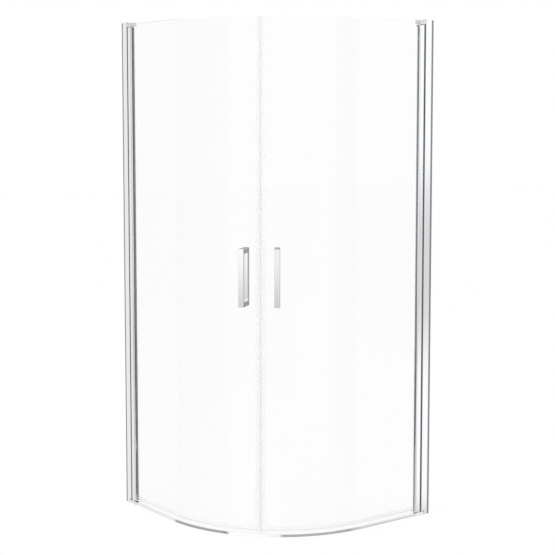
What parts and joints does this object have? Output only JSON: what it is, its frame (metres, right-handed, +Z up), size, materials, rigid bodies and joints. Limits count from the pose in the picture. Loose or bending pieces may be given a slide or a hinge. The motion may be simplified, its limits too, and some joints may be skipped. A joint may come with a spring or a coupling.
{
  "type": "quadrant shower enclosure",
  "caption": "Corner shower enclosure with a quarter-round front: clear glass pivot doors on bright wall posts, magnetic closing edge, bar handles and a low curved threshold.",
  "frame": {"origin": "bottom centre of the box round the enclosure, on the floor", "axes": "+Z up; -X faces the left room wall, +Y faces the right room wall; the round front faces +X, -Y"},
  "size_m": [0.9, 0.9, 2],
  "materials": {
    "polished_aluminium": "bright polished",
    "chrome": "mirror",
    "chromed_plastic": "bright plated",
    "stainless_steel": "turned",
    "white_nylon": "moulded",
    "dark_seal": "matte",
    "clear_glass": "clear toughened",
    "clear_seal": "translucent flexible",
    "magnet": "white flexible magnet",
    "soft_pad": "translucent soft"
  },
  "bodies": {
    "frame": {"left_wall_channel": "polished_aluminium", "left_post_profile": "polished_aluminium", "left_post_top_cap": "chromed_plastic", "left_top_pivot_bracket": "chrome", "left_bottom_pivot_block": "chrome", "left_pivot_pins": "stainless_steel", "left_thrust_washer": "white_nylon", "left_clamp_screws": "stainless_steel", "left_bracket_screws": "stainless_steel", "left_screw_covers": "chromed_plastic", "left_hinge_seal": "dark_seal", "right_wall_channel": "polished_aluminium", "right_post_profile": "polished_aluminium", "right_post_top_cap": "chromed_plastic", "right_top_pivot_bracket": "chrome", "right_bottom_pivot_block": "chrome", "right_pivot_pins": "stainless_steel", "right_thrust_washer": "white_nylon", "right_clamp_screws": "stainless_steel", "right_bracket_screws": "stainless_steel", "right_screw_covers": "chromed_plastic", "right_hinge_seal": "dark_seal", "threshold_strip": "polished_aluminium", "threshold_bedding": "soft_pad"},
    "left_door": {"left_hinge_profile": "polished_aluminium", "left_hinge_lower_cap": "chromed_plastic", "left_hinge_upper_cap": "chromed_plastic", "left_hinge_bushes": "white_nylon", "left_glass_panel": "clear_glass", "left_glass_gasket": "dark_seal", "left_magnet_seal": "clear_seal", "left_magnet_strip": "magnet", "left_bottom_seal": "clear_seal", "left_outer_handle": "chrome", "left_inner_handle": "chrome", "left_handle_studs": "stainless_steel", "left_handle_sleeves": "white_nylon", "left_handle_washers": "soft_pad", "left_handle_grub_screws": "stainless_steel"},
    "right_door": {"right_hinge_profile": "polished_aluminium", "right_hinge_lower_cap": "chromed_plastic", "right_hinge_upper_cap": "chromed_plastic", "right_hinge_bushes": "white_nylon", "right_glass_panel": "clear_glass", "right_glass_gasket": "dark_seal", "right_magnet_seal": "clear_seal", "right_magnet_strip": "magnet", "right_bottom_seal": "clear_seal", "right_outer_handle": "chrome", "right_inner_handle": "chrome", "right_handle_studs": "stainless_steel", "right_handle_sleeves": "white_nylon", "right_handle_washers": "soft_pad", "right_handle_grub_screws": "stainless_steel"}
  },
  "joints": [
    {"name": "left_door_swing", "type": "hinge", "parent": "frame", "child": "left_door", "pos_m": [-0.3965, -0.44, 0], "axis": [0, 0, -1], "range_deg": [0, 90]},
    {"name": "right_door_swing", "type": "hinge", "parent": "frame", "child": "right_door", "pos_m": [0.44, 0.3965, 0], "axis": [0, 0, 1], "range_deg": [0, 90]}
  ]
}
